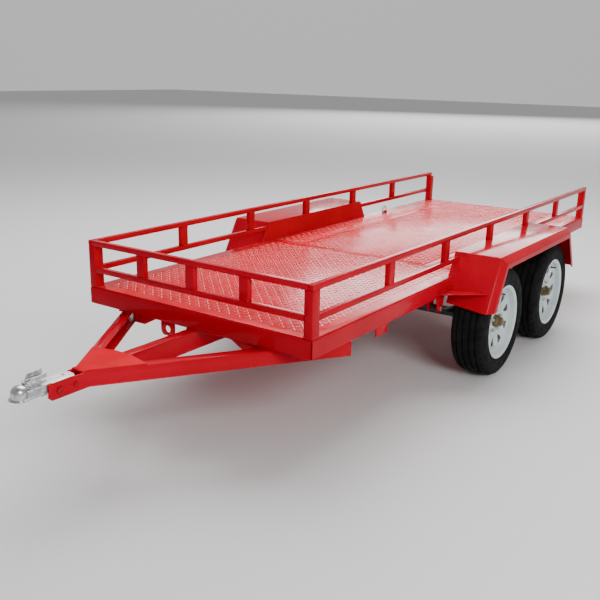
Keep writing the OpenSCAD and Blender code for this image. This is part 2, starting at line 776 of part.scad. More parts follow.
module coupler_shell() {
    r = ball_r + socket_wall;
    translate([-ball_x, 0, ball_z]) sphere(r = r, $fn = 64);
    rod_z(-ball_x, 0, r, [mouth_z, ball_z]);
    rod_z(-ball_x, 0, r + 8, [mouth_z, mouth_z + 4]);
    box([-ball_x, cover_x[1]], [-tail_half, tail_half], [mouth_z, body_top]);
    box([-ball_x, -head_x - 2], [-tail_half - 8, tail_half + 8], [mouth_z, mouth_z + 4]);
    box([-head_x, tail_end], [-tail_half, tail_half], [tail_low, body_top - 6]);
    for (y = ear_y) {
        box([pivot_x - 9, pivot_x + 9], [y, y + 3], [body_top - 4, pivot_z]);
        rod_y(pivot_x, pivot_z, 9, [y, y + 3]);
    }
}

module coupler_body() color(zinc) at_deck() difference() {
    wall = 4;
    inside = [wall - tail_half, tail_half - wall];
    coupler_shell();
    translate([-ball_x, 0, ball_z]) sphere(r = socket_r, $fn = 64);
    rod_z(-ball_x, 0, socket_r, [mouth_z - 1, ball_z]);
    rod_z(-ball_x, 0, ball_r + socket_wall + 1, [mouth_z - 30, mouth_z]);
    box([-ball_x, cover_x[1] - wall], inside, [tail_low - 1, body_top - wall]);
    box([cover_x[1] - wall - 1, tail_end + 1], inside, [tail_low - 1, body_top + 1]);
    cheek_bores(fit_gap);
    rod_y(pivot_x, pivot_z, pivot_r + fit_gap, [ear_y[0] - 10, ear_y[1] + 10]);
    for (x = cover_bolt_x) rod_z(x, 0, cover_bolt_r + fit_gap, [body_top - 10, body_top + 5]);
}

module coupler_cover_plate() {
    half = 33;
    color(zinc) at_deck() difference() {
        along_z([body_top, body_top + 4]) union() {
            polygon([
                [cover_x[0] + 14, -half], [cover_x[1] - 10, -half], [cover_x[1], -half + 14],
                [cover_x[1], half - 14], [cover_x[1] - 10, half], [cover_x[0] + 14, half], [cover_x[0], 8],
                [cover_x[0], -8]
            ]);
            translate([cover_x[0] - 12, -19]) circle(r = 9);
            translate([cover_x[0], -19]) square([26, 16], center = true);
        }
        for (x = cover_bolt_x) rod_z(x, 0, cover_bolt_r + fit_gap, [body_top - 1, body_top + 5]);
    }
}

module coupler_bolts() color(zinc) at_deck() {
    for (i = [0, 1]) cross_bolt(cheek_bolt_x[i], bolt_z, cheek_bolt_r[i], [-head_y, head_y + 4]);
    for (x = cover_bolt_x) {
        rod_z(x, 0, cover_bolt_r, [body_top - 16, body_top + 4]);
        rod_z(x, 0, 7, [body_top + 4, body_top + 8], 6);
        rod_z(x, 0, 7, [body_top - 12, body_top - 4.2], 6);
    }
}

module coupler_pivot_pin() color(zinc) at_deck() {
    rod_y(pivot_x, pivot_z, pivot_r, [ear_y[0] - 2, ear_y[1] + 5]);
    rod_y(pivot_x, pivot_z, 6.5, [ear_y[0] - 4, ear_y[0]], 6);
    rod_y(pivot_x, pivot_z, 6.5, [ear_y[1] + 3, ear_y[1] + 7], 6);
}

module coupler_lever() {
    wall = 3;
    near = lever_y - lever_w / 2;
    far = lever_y + lever_w / 2 - wall;
    tail = -738;
    floor_z = pivot_z + 6;
    color(zinc) at_deck() difference() {
        union() {
            box([pivot_x, tail], [near, far + wall], [floor_z, floor_z + wall]);
            for (y = [near, far]) {
                rod_y(pivot_x, pivot_z, 9, [y, y + wall]);
                box([pivot_x, pivot_x + 9], [y, y + wall], [pivot_z, floor_z + wall]);
            }
            along_y([near, near + wall]) polygon([
                [pivot_x, floor_z], [tail, floor_z], [tail, floor_z + 16], [pivot_x + 10, floor_z + 12]
            ]);
            along_y([far, far + wall]) polygon([
                [pivot_x, floor_z], [tail, floor_z], [tail, floor_z + 28], [pivot_x + 12, floor_z + 24]
            ]);
        }
        rod_y(pivot_x, pivot_z, pivot_r + 0.05, [near - 1, far + wall + 1]);
    }
}

module coupler_jaw() color(steel) at_deck() difference() {
    half = 16;
    box([-ball_x + 14, -ball_x + 46], [-half, half], [mouth_z + 0.5, ball_z - 3]);
    translate([-ball_x, 0, ball_z]) sphere(r = ball_r + 0.5, $fn = 64);
}

// ---- output --------------------------------------------------------------------------------

side_rail_left();
side_rail_right();
front_crossmember();
rear_crossmember();
inner_crossmembers();
deck_front_plate();
deck_rear_plate();
deck_side_strips();
drawbar_left_arm();
drawbar_right_arm();
drawbar_centre_beam();
drawbar_top_plate();
drawbar_gussets();
chain_lug();
side_brackets();
corner_posts();
top_rail_left();
top_rail_right();
top_rail_front();
mid_rails();
rail_posts();
fender_left();
fender_right();
fender_stays();
spring_hangers();
spring_bolts();
bump_stops();
bump_stop_brackets();
ring_bracket();
lashing_ring();
coupler_body();
coupler_cover_plate();
coupler_bolts();
coupler_pivot_pin();
coupler_lever();
coupler_jaw();
front_axle_beam();
rear_axle_beam();
front_springs();
rear_springs();
front_spring_clamps();
rear_spring_clamps();
tyre_front_left();
rim_front_left();
hub_front_left();
nuts_front_left();
tyre_front_right();
rim_front_right();
hub_front_right();
nuts_front_right();
tyre_rear_left();
rim_rear_left();
hub_rear_left();
nuts_rear_left();
tyre_rear_right();
rim_rear_right();
hub_rear_right();
nuts_rear_right();
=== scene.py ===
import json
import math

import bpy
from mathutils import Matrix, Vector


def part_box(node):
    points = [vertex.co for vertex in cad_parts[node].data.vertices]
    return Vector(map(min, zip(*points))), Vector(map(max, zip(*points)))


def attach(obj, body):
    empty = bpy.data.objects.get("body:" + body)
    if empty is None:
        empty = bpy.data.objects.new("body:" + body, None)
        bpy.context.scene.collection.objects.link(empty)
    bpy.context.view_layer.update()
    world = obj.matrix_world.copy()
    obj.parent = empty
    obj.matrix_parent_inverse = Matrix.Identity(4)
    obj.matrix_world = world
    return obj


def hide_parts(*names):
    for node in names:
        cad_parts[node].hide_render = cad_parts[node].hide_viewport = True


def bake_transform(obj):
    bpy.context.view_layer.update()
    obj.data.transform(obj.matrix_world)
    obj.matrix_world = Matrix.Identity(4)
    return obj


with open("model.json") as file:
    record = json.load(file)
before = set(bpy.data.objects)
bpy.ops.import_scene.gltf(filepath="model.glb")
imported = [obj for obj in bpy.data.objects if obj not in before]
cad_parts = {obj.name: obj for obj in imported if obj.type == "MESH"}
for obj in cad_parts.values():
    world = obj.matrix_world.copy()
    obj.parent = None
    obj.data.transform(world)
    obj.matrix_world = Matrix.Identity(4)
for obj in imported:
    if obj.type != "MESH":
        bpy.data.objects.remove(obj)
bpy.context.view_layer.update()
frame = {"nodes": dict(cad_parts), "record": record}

# %% [markdown]
# # A flat stock trailer, dressed around its CAD frame
#
# The imported CAD model gives every plate, tube and bearing its true place. What it doesn't have is what
# makes steel look like steel: folded edges with a radius, rolled lips, weld beads, pressed lugs on the
# deck, ribs on the tyres and a coat of enamel. Each step below adds one of those, in metres, in the
# frame's own axes: +X runs from the coupler to the tailgate end, +Y to the right side, +Z up.

MM = 0.001

# %% [markdown]
# ## A place to measure from
#
# The drawing of the trailer is dimensioned from the front edge of the deck, so the steps below are too.
# `at` turns such a drawing place, in millimetres, into a point of the frame. The front edge itself is read
# from the CAD top rail, which starts there.

# %% From drawing to frame
deck_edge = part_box("top_rail_left")[0].x
deck_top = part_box("deck_front_plate")[1].z
frame_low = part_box("side_rail_left")[0].z / MM


def at(x, y, z):
    return Vector((deck_edge + x * MM, y * MM, z * MM))


print("the deck starts at x =", round(deck_edge, 3), "and its top is at z =", round(deck_top, 3))

# %% [markdown]
# ## Working one object at a time
#
# Blender's tools act on what is selected, and a fresh import leaves all of the CAD selected. `alone` clears
# that. `pick` selects corners, edges or faces by where they are, and `apply_modifier` adds a modifier and
# bakes it in at once, so that no later step depends on a live stack.

# %% Selection and modifiers
def alone(*objs):
    if bpy.context.object and bpy.context.object.mode != "OBJECT":
        bpy.ops.object.mode_set(mode="OBJECT")
    bpy.ops.object.select_all(action="DESELECT")
    for obj in objs:
        obj.select_set(True)
    bpy.context.view_layer.objects.active = objs[-1]


def editing(obj):
    alone(obj)
    bpy.ops.object.mode_set(mode="EDIT")
    bpy.ops.mesh.select_mode(type="VERT")
    bpy.ops.mesh.select_all(action="SELECT")


def done():
    bpy.ops.object.mode_set(mode="OBJECT")


def pick(obj, kind, test):
    editing(obj)
    bpy.ops.mesh.select_all(action="DESELECT")
    bpy.ops.mesh.select_mode(type=kind)
    done()
    mesh = obj.data
    if kind == "VERT":
        for corner in mesh.vertices:
            corner.select = test(corner.co)
    else:
        for item in mesh.edges if kind == "EDGE" else mesh.polygons:
            item.select = all(test(mesh.vertices[i].co) for i in item.vertices)
    bpy.ops.object.mode_set(mode="EDIT")


def apply_modifier(obj, kind, **settings):
    alone(obj)
    modifier = obj.modifiers.new(kind.lower(), kind)
    for key, value in settings.items():
        setattr(modifier, key, value)
    bpy.ops.object.modifier_apply(modifier=modifier.name)


def smooth(obj, degrees=35):
    alone(obj)
    bpy.ops.object.shade_smooth_by_angle(angle=math.radians(degrees))


def tidy(obj, flat=0.6):
    editing(obj)
    bpy.ops.mesh.customdata_custom_splitnormals_clear()
    bpy.ops.mesh.remove_doubles(threshold=1e-5)
    bpy.ops.mesh.dissolve_limited(angle_limit=math.radians(flat))
    bpy.ops.mesh.normals_make_consistent(inside=False)
    done()


def rounded(obj, radius, segments=2, degrees=40):
    apply_modifier(
        obj, "BEVEL", width=radius * MM, segments=segments, limit_method="ANGLE",
        angle_limit=math.radians(degrees), use_clamp_overlap=False,
    )
    smooth(obj)


def joined(name, parts):
    alone(*parts)
    bpy.ops.object.join()
    obj = bpy.context.object
    obj.name = obj.data.name = name
    return obj


# %% [markdown]
# ## Copies
#
# What repeats is modelled once. A copy gets a mesh of its own, moved inside the mesh, so every finished
# piece still sits at the origin. A mirrored copy has its faces turned inside out by the flip, which is why
# the normals are made consistent again afterwards.

# %% Copying a piece
def copied(obj, name, move=(0, 0, 0), flip=False, turn=None):
    twin = obj.copy()
    twin.data = obj.data.copy()
    twin.name = twin.data.name = name
    twin.parent = None
    for key in list(twin.keys()):
        del twin[key]
    bpy.context.scene.collection.objects.link(twin)
    place = Matrix.Translation(Vector(move))
    if turn is not None:
        place = place @ turn
    if flip:
        place = place @ Matrix.Scale(-1, 4, (0, 1, 0))
    twin.data.transform(place)
    if flip:
        editing(twin)
        bpy.ops.mesh.flip_normals()
        done()
    return twin


def from_cad(node, name):
    twin = copied(frame["nodes"][node], name)
    twin.hide_render = twin.hide_viewport = False
    twin.data.materials.clear()
    tidy(twin)
    return twin


# %% [markdown]
# ## Paint and metal
#
# Every finish is a small network on Blender's Principled shader, fed by noise in Object coordinates: the
# meshes sit at the origin, so one metre of noise is one metre of trailer. Three things give a painted or
# plated surface its life: the colour drifts a little over a hand's width, the gloss is broken by handling,
# and the skin itself is uneven, as sprayed enamel always is. `finish` makes a shader and returns it with
# its node tree; `drift`, `gloss` and `skin` add those three.

# %% Shader helpers
def finish(name, **inputs):
    mat = bpy.data.materials.new(name)
    mat.use_nodes = True
    bsdf = mat.node_tree.nodes["Principled BSDF"]
    for key, value in inputs.items():
        bsdf.inputs[key.replace("_", " ")].default_value = value
    return mat


def noise(mat, scale, detail=4.0, stretch=(1, 1, 1)):
    nodes, links = mat.node_tree.nodes, mat.node_tree.links
    place = nodes.new("ShaderNodeTexCoord")
    mapping = nodes.new("ShaderNodeMapping")
    mapping.inputs["Scale"].default_value = stretch
    tex = nodes.new("ShaderNodeTexNoise")
    tex.inputs["Scale"].default_value = scale
    tex.inputs["Detail"].default_value = detail
    links.new(place.outputs["Object"], mapping.inputs["Vector"])
    links.new(mapping.outputs["Vector"], tex.inputs["Vector"])
    return tex.outputs["Fac"]


def ramp(mat, source, low, high, stops=(0.35, 0.65)):
    node = mat.node_tree.nodes.new("ShaderNodeValToRGB")
    for point, stop, colour in zip(node.color_ramp.elements, stops, (low, high)):
        point.position = stop
        point.color = (*colour, 1)
    mat.node_tree.links.new(source, node.inputs["Fac"])
    return node.outputs["Color"]


def drift(mat, low, high, scale=3.0):
    bsdf = mat.node_tree.nodes["Principled BSDF"]
    mat.node_tree.links.new(ramp(mat, noise(mat, scale), low, high), bsdf.inputs["Base Color"])


def gloss(mat, low, high, scale=14.0, stretch=(1, 1, 1)):
    bsdf = mat.node_tree.nodes["Principled BSDF"]
    span = mat.node_tree.nodes.new("ShaderNodeMapRange")
    span.inputs["To Min"].default_value = low
    span.inputs["To Max"].default_value = high
    span.inputs["From Min"].default_value = 0.3
    span.inputs["From Max"].default_value = 0.7
    mat.node_tree.links.new(noise(mat, scale, 5.0, stretch), span.inputs["Value"])
    mat.node_tree.links.new(span.outputs["Result"], bsdf.inputs["Roughness"])


def skin(mat, scale, depth, strength=0.4, stretch=(1, 1, 1)):
    bsdf = mat.node_tree.nodes["Principled BSDF"]
    bump = mat.node_tree.nodes.new("ShaderNodeBump")
    bump.inputs["Strength"].default_value = strength
    bump.inputs["Distance"].default_value = depth * MM
    mat.node_tree.links.new(noise(mat, scale, 3.0, stretch), bump.inputs["Height"])
    mat.node_tree.links.new(bump.outputs["Normal"], bsdf.inputs["Normal"])


# %% [markdown]
# The record names ten finishes. Some slots are worn by pieces that don't look quite alike, so a few more are
# made here. The red is one enamel in several states: glossy on the frame; lighter and duller on the deck, where
# the lighter red is painted light for the lit top; lighter and shinier on the raised bars of the tread, a
# painted highlight; lighter and almost without reflection on the drawbar's top plate, painted light for that
# lit top; and darker on the bolts through its cheeks. The coupler is bright zinc with a faint drawn grain and
# its cover plate a creamier one.
# The wheel hubs carry an old yellow passivation, and the tyres have almost no shine at all.

# %% The finishes
red = finish("red_enamel", Specular_IOR_Level=0.07)
drift(red, (0.38, 0.0, 0.009), (0.48, 0.0, 0.014))
gloss(red, 0.10, 0.20)
skin(red, 90, 0.10, 0.12)

# The deck's red is lighter than the frame's: painted light for the lit top of the deck.
deck_red = finish("deck_enamel_painted_light", Specular_IOR_Level=0.07)
drift(deck_red, (0.50, 0.0, 0.009), (0.64, 0.0, 0.014), 5.0)
gloss(deck_red, 0.12, 0.30)
skin(deck_red, 70, 0.12, 0.15)

# The raised bars are a lighter red than the plate around them: a painted highlight where they catch the sky.
highlit_bar_red = finish("tread_painted_highlight", Specular_IOR_Level=0.32)
drift(highlit_bar_red, (0.56, 0.002, 0.010), (0.74, 0.012, 0.022), 8.0)
gloss(highlit_bar_red, 0.10, 0.24)

# The drawbar's top plate is a lighter red than the frame: painted light for its lit top.
lit_plate_red = finish("plate_enamel_painted_light", Specular_IOR_Level=0.02, Roughness=0.45)
drift(lit_plate_red, (0.54, 0.0, 0.010), (0.64, 0.0, 0.014), 12.0)

dark_red = finish("painted_bolts", Specular_IOR_Level=0.3)
drift(dark_red, (0.20, 0.0, 0.002), (0.32, 0.0, 0.004), 50.0)
gloss(dark_red, 0.25, 0.4)

rubber = finish("tyre_rubber", Specular_IOR_Level=0.12)
drift(rubber, (0.003, 0.003, 0.0035), (0.009, 0.0085, 0.008), 22.0)
gloss(rubber, 0.62, 0.82, 30.0)
skin(rubber, 900, 0.15, 0.5)

white = finish("rim_enamel", Coat_Weight=0.4, Coat_Roughness=0.08)
drift(white, (0.46, 0.52, 0.54), (0.56, 0.61, 0.62), 9.0)
gloss(white, 0.25, 0.38)
skin(white, 300, 0.1, 0.25)

zinc = finish("coupler_zinc", Metallic=1.0)
drift(zinc, (0.40, 0.42, 0.44), (0.66, 0.67, 0.67), 55.0)
gloss(zinc, 0.20, 0.40, 60.0, (0.3, 1, 1))
skin(zinc, 240, 0.15, 0.3)

cream = finish("cover_zinc", Metallic=0.3)
drift(cream, (0.84, 0.81, 0.74), (0.93, 0.91, 0.86), 40.0)
gloss(cream, 0.32, 0.45, 60.0)

plated = finish("plated_fixings", Metallic=1.0)
drift(plated, (0.58, 0.58, 0.56), (0.72, 0.71, 0.67), 60.0)
gloss(plated, 0.26, 0.45, 120.0)

yellow = finish("hub_passivated", Metallic=0.7)
drift(yellow, (0.09, 0.07, 0.03), (0.22, 0.17, 0.08), 60.0)
gloss(yellow, 0.32, 0.5, 80.0)

black = finish("axle_paint", Coat_Weight=0.2, Coat_Roughness=0.2)
drift(black, (0.006, 0.006, 0.006), (0.016, 0.015, 0.015), 18.0)
gloss(black, 0.35, 0.55, 25.0)
skin(black, 240, 0.2, 0.4)

steel = finish("spring_steel", Metallic=0.6)
drift(steel, (0.02, 0.02, 0.021), (0.06, 0.055, 0.05), 26.0)
gloss(steel, 0.38, 0.60, 50.0, (0.2, 1, 1))
skin(steel, 260, 0.2, 0.4)

bump_rubber = finish("bump_rubber", Specular_IOR_Level=0.3)
drift(bump_rubber, (0.016, 0.016, 0.016), (0.03, 0.03, 0.03), 60.0)
gloss(bump_rubber, 0.6, 0.8, 60.0)

SLOTS = {
    "body_red": red, "deck_red": deck_red, "tyre_rubber": rubber, "rim_white": white, "hub_metal": yellow,
    "plated_fixings": plated, "coupler_zinc": zinc, "spring_steel": steel, "axle_black": black,
    "bump_rubber": bump_rubber,
}
for part in frame["record"]["subparts"]:
    mesh = frame["nodes"][part["node"]].data
    mesh.materials.clear()
    mesh.materials.append(SLOTS[part["material_slot"]])
print(len(SLOTS), "finishes on", len(frame["nodes"]), "CAD nodes")


# %% [markdown]
# ## Signing a piece off
#
# `sign` gives a finished piece the material of its slot, hides the CAD nodes that it stands for, and lets it
# ride on a body. Most pieces made below end with it.

# %% Signing off
def sign(obj, body, slot, *nodes, material=None):
    obj.data.materials.clear()
    obj.data.materials.append(material or SLOTS[slot])
    if nodes:
        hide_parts(*nodes)
    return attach(obj, body)


def dressed(node, radius, body="chassis", segments=2, material=None, name=None):
    """A copy of a CAD node with its sharp edges rounded, in the node's own finish."""
    slot = next(p["material_slot"] for p in frame["record"]["subparts"] if p["node"] == node)
    obj = from_cad(node, name or node + "_skin")
    rounded(obj, radius, segments)
    return sign(obj, body, slot, node, material=material)


# %% [markdown]
# ## The folded perimeter
#
# The frame around the deck is a channel folded from 4 mm sheet. It could be drawn as a solid with sharp
# corners, but a folded edge has a radius that catches a thin line of light along the whole trailer, so it
# is modelled as it is made. A box is laid on the CAD channel, its open side and its two ends are taken
# away, the ends are mitred, the two folds get their radius, and only then is the sheet thickened inwards.

# %% Folded channels
FLANGE = 40


def channel(node, axis, inward):
    low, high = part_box(node)
    middle = (low + high) / 2
    bpy.ops.mesh.primitive_cube_add(size=1, location=middle, scale=high - low)
    obj = bpy.context.object
    obj.name = obj.data.name = node + "_folded"
    bpy.ops.object.transform_apply(location=True, rotation=True, scale=True)
    other = 1 - axis

    def open_side(p):
        return (p[other] - middle[other]) * inward > 0

    for end in (-1, 1):
        pick(obj, "VERT", lambda p: open_side(p) and (p[axis] - middle[axis]) * end > 0)
        shift = [0, 0, 0]
        shift[axis] = -end * FLANGE * MM
        bpy.ops.transform.translate(value=shift)
        done()
    pick(obj, "FACE", open_side)
    bpy.ops.mesh.delete(type="FACE")
    done()
    for end in (-1, 1):
        pick(obj, "FACE", lambda p: (p[axis] - middle[axis]) * end > 0)
        bpy.ops.mesh.delete(type="ONLY_FACE")
        done()
    pick(obj, "EDGE", lambda p: not open_side(p))
    bpy.ops.mesh.bevel(offset=6 * MM, segments=4)
    done()
    pick(obj, "VERT", lambda p: True)
    bpy.ops.mesh.normals_make_consistent(inside=False)
    done()
    web = max(obj.data.polygons, key=lambda f: abs(f.normal[other]) * f.area)
    if web.normal[other] * inward > 0:
        editing(obj)
        bpy.ops.mesh.flip_normals()
        done()
    apply_modifier(obj, "SOLIDIFY", thickness=4 * MM, offset=-1)
    rounded(obj, 0.5, 1, 60)
    return sign(obj, "chassis", "body_red", node)


for node, axis, inward in (
    ("side_rail_left", 0, 1), ("side_rail_right", 0, -1),
    ("front_crossmember", 1, 1), ("rear_crossmember", 1, -1),
):
    piece = channel(node, axis, inward)
    print(piece.name, len(piece.data.polygons), "faces")

# %% [markdown]
# ## Rails, posts and bearers
#
# All of these are square tube. Tube is drawn with rounded corners and its open ends are capped before
# painting, so each CAD tube becomes a closed bar: the copy is taken apart into its separate tubes, each
# gets the hull of its own corners, which keeps the slanted cuts where the mid rails land on the fenders,
# and the long edges are rounded to the radius of cold-formed tube.

# %% Closed tubes
def closed_tubes(node, radius, body="chassis", slot="body_red", segments=3):
    alone(from_cad(node, node + "_tubes"))
    bpy.ops.object.mode_set(mode="EDIT")
    bpy.ops.mesh.select_all(action="SELECT")
    bpy.ops.mesh.separate(type="LOOSE")
    done()
    parts = list(bpy.context.selected_objects)
    for part in parts:
        editing(part)
        bpy.ops.mesh.convex_hull()
        bpy.ops.mesh.dissolve_limited(angle_limit=math.radians(1))
        done()
    obj = joined(node + "_tubes", parts) if len(parts) > 1 else parts[0]
    rounded(obj, radius, segments)
    return sign(obj, body, slot, node)


for node, radius in (
    ("top_rail_left", 3), ("top_rail_right", 3), ("top_rail_front", 3), ("mid_rails", 3), ("rail_posts", 2.5),
    ("corner_posts", 4), ("inner_crossmembers", 4), ("drawbar_centre_beam", 4), ("bump_stop_brackets", 2.5),
):
    piece = closed_tubes(node, radius)
    print(piece.name, len(piece.data.polygons), "faces")

# %% [markdown]
# ## Chequer plate
#
# The deck is rolled plate with raised bars, alternately turned 45 degrees each way. A bump texture would
# vanish at this low angle, where the bars are seen almost edge-on against the sky's reflection, so they are
# real. There are thousands of them, so one bar is only a dozen faces: an eight-sided lens, drawn up from a
# disc and drawn in at the top. Four bars make a cell of two by two, and an Array repeats the cell.

# %% One raised bar
PITCH = 28.0


def raised_bar(name, centre, angle):
    bpy.ops.mesh.primitive_circle_add(vertices=8, radius=0.5, fill_type="NGON")
    obj = bpy.context.object
    obj.name = obj.data.name = name
    editing(obj)
    bpy.ops.transform.resize(value=(30 * MM, 9.5 * MM, 1), center_override=(0, 0, 0))
    bpy.ops.mesh.extrude_region_move(TRANSFORM_OT_translate={"value": (0, 0, 1.9 * MM)})
    bpy.ops.transform.resize(value=(0.72, 0.42, 1), center_override=(0, 0, 0))
    bpy.ops.mesh.select_all(action="SELECT")
    bpy.ops.transform.rotate(value=math.radians(angle), orient_axis="Z", center_override=(0, 0, 0))
    bpy.ops.transform.translate(value=centre)
    bpy.ops.mesh.normals_make_consistent(inside=False)
    done()
    return obj


def tread(name, x, y):
    """Fills a field of the deck, in drawing millimetres, with raised bars."""
    columns, rows = (2 * int((end - start) / (2 * PITCH)) for start, end in (x, y))
    first = at((x[0] + x[1] - (columns - 1) * PITCH) / 2, (y[0] + y[1] - (rows - 1) * PITCH) / 2, 0)
    first.z = deck_top - 0.05 * MM
    step = PITCH * MM
    cell = [
        raised_bar("bar", first + Vector((i * step, j * step, 0)), 45 if (i + j) % 2 else -45)
        for i in (0, 1) for j in (0, 1)
    ]
    obj = joined(name, cell)
    apply_modifier(obj, "ARRAY", count=columns // 2, use_relative_offset=False,
                   use_constant_offset=True, constant_offset_displace=(2 * step, 0, 0))
    apply_modifier(obj, "ARRAY", count=rows // 2, use_relative_offset=False,
                   use_constant_offset=True, constant_offset_displace=(0, 2 * step, 0))
    smooth(obj, 30)
    print(name, columns, "by", rows, "bars")
    # The bars wear the lighter red, a painted highlight.
    return sign(obj, "chassis", "deck_red", material=highlit_bar_red)


tread("tread_front", (52, 1350), (-582, 582))
tread("tread_middle", (1390, 3490), (-392, 392))
for side in (-1, 1):
    low, high = sorted((side * 408, side * 590))
    tread("tread_strip_" + ("left" if side < 0 else "right"), (1390, 3440), (low, high))

for node in ("deck_front_plate", "deck_rear_plate", "deck_side_strips"):
    dressed(node, 0.7)

# %% [markdown]
# ## The fenders
#
# Each fender is one long folded cover: a front slope, a flat top and a rear slope, with a chamfer and a
# skirt along the outer edge. As one sheet it is a grid of six by four corners laid on the outline. The
# folds get a radius, the sheet is thickened inwards by 3 mm, and the part that would run into the deck's
# frame is cut away, as it is on the real one.

# %% One fender
FENDER_RUN, CHAMFER, SKIRT, SHEET = 144 * MM, 29 * MM, 28 * MM, 3 * MM


def fender(name, node, side):
    low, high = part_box(node)
    inner = min(abs(low.y), abs(high.y))
    outer = max(abs(low.y), abs(high.y))
    drop = high.z - low.z
    lean = math.atan2(drop, FENDER_RUN)

    def outline(i, depth):
        """Corner i of the side view, moved inwards by depth: tip, deck level and fold at each end."""
        if i > 2:
            x, z = outline(5 - i, depth)
            return low.x + high.x - x, z
        if i == 2:
            return low.x + FENDER_RUN + depth * math.tan(lean / 2), high.z - depth
        z = low.z if i == 0 else deck_top
        return low.x + (z - low.z) / math.tan(lean) + depth / math.sin(lean), z

    bpy.ops.mesh.primitive_grid_add(x_subdivisions=5, y_subdivisions=3, size=1)
    obj = bpy.context.object
    obj.name = obj.data.name = name
    across = [(inner, 0), (outer - CHAMFER, 0), (outer, CHAMFER), (outer, CHAMFER + SKIRT)]
    for corner in obj.data.vertices:
        i = round((corner.co.x + 0.5) * 5)
        y, depth = across[round((corner.co.y + 0.5) * 3)]
        x, z = outline(i, depth)
        corner.co = (x, side * y, z)
    editing(obj)
    bpy.ops.mesh.normals_make_consistent(inside=False)
    done()
    if max(obj.data.polygons, key=lambda f: f.area).normal.z < 0:
        editing(obj)
        bpy.ops.mesh.flip_normals()
        done()
    editing(obj)
    bpy.ops.mesh.bisect(
        plane_co=(0, side * (outer - CHAMFER - 10 * MM), low.z - 1 * MM), plane_no=(0, side * 0.097, 0.995),
        clear_inner=True,
    )
    done()
    apply_modifier(obj, "BEVEL", width=5 * MM, segments=4, limit_method="ANGLE", angle_limit=math.radians(15))
    apply_modifier(obj, "SOLIDIFY", thickness=SHEET, offset=-1)
    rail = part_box("side_rail_right")[1]
    clear_y, clear_z = rail.y + 0.6 * MM, rail.z + 0.2 * MM
    bpy.ops.mesh.primitive_cube_add(
        size=1, location=((low.x + high.x) / 2, side * clear_y / 2, clear_z / 2), scale=(4, clear_y, clear_z),
    )
    cutter = bpy.context.object
    apply_modifier(obj, "BOOLEAN", operation="DIFFERENCE", object=cutter, solver="EXACT")
    alone(cutter)
    bpy.ops.object.delete()
    return obj


def fender_wall(name, node, side):
    """The upright wall between the fender and the load, standing on the frame."""
    low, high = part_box(node)
    inner = min(abs(low.y), abs(high.y))
    lean = (high.z - low.z) / FENDER_RUN
    foot, head = at(0, 0, frame_low).z + 0.0803, high.z - SHEET
    bpy.ops.mesh.primitive_cube_add(size=1)
    obj = bpy.context.object
    obj.name = obj.data.name = name
    for corner in obj.data.vertices:
        z = head if corner.co.z > 0 else foot
        inset = (z - low.z) / lean + SHEET * 1.3
        x = low.x + inset if corner.co.x < 0 else high.x - inset
        y = inner if corner.co.y < 0 else inner + SHEET
        corner.co = (x, side * y, z)
    editing(obj)
    bpy.ops.mesh.normals_make_consistent(inside=False)
    done()
    return obj


for label, side in (("left", -1), ("right", 1)):
    node = "fender_" + label
    piece = joined(node + "_cover", [fender_wall("wall", node, side), fender("cover", node, side)])
    rounded(piece, 0.6, 1, 60)
    sign(piece, "chassis", "body_red", node)
    print(piece.name, len(piece.data.polygons), "faces")

# %% [markdown]
# ## Plates and brackets
#
# Flat plate that was cut with a torch or a saw has a broken edge of about a millimetre. These parts are
# already right in the CAD, so each is a copy of its node with the edges rounded.

# %% Dressed plates
for node, radius in (
    ("drawbar_left_arm", 1.6), ("drawbar_right_arm", 1.6), ("drawbar_gussets", 1.0),
    ("chain_lug", 1.2), ("side_brackets", 1.0), ("fender_stays", 0.8), ("spring_hangers", 1.0),
    ("ring_bracket", 0.8), ("spring_bolts", 0.6), ("coupler_pivot_pin", 0.5),
):
    dressed(node, radius)
# The top plate wears the lighter red, painted light for its lit top.
dressed("drawbar_top_plate", 1.2, material=lit_plate_red)
dressed("coupler_cover_plate", 0.8, material=cream)
bolts = dressed("coupler_bolts", 0.6)
bolts.data.materials.append(dark_red)
CHEEK_FACE = 28 * MM
for face in bolts.data.polygons:
    if abs(face.center.y) > CHEEK_FACE:
        face.material_index = 1
dressed("coupler_jaw", 0.6, "jaw")
dressed("lashing_ring", 0.4, "ring")
for axle in ("front", "rear"):
    dressed(axle + "_axle_beam", 1.6, axle + "_axle")
    dressed(axle + "_spring_clamps", 0.6, axle + "_axle")
dressed("bump_stops", 1.5, segments=3)

# %% [markdown]
# ## Weld beads
#
# Tubes and plates here only touch in the CAD; on the trailer a bead of weld runs along each joint, and its
# small ripples show as a bright edge against the paint. One ripple is a flattened ball of a few faces. An
# Array lays a row of them, three millimetres apart, and every joint gets a copy of a row of its length,
# turned to lie along it.

# %% Rows of ripples
RIPPLE = 3.0


def bead_row(count):
    bpy.ops.mesh.primitive_uv_sphere_add(segments=6, ring_count=4, radius=1)
    obj = bpy.context.object
    editing(obj)
    bpy.ops.transform.rotate(value=math.radians(90), orient_axis="Y", center_override=(0, 0, 0))
    bpy.ops.transform.resize(value=(2.3 * MM, 2.6 * MM, 2.6 * MM), center_override=(0, 0, 0))
    bpy.ops.transform.translate(value=(RIPPLE / 2 * MM, 0, 0))
    done()
    if count > 1:
        apply_modifier(obj, "ARRAY", count=count, use_relative_offset=False, use_constant_offset=True,
                       constant_offset_displace=(RIPPLE * MM, 0, 0))
    smooth(obj, 80)
    return obj


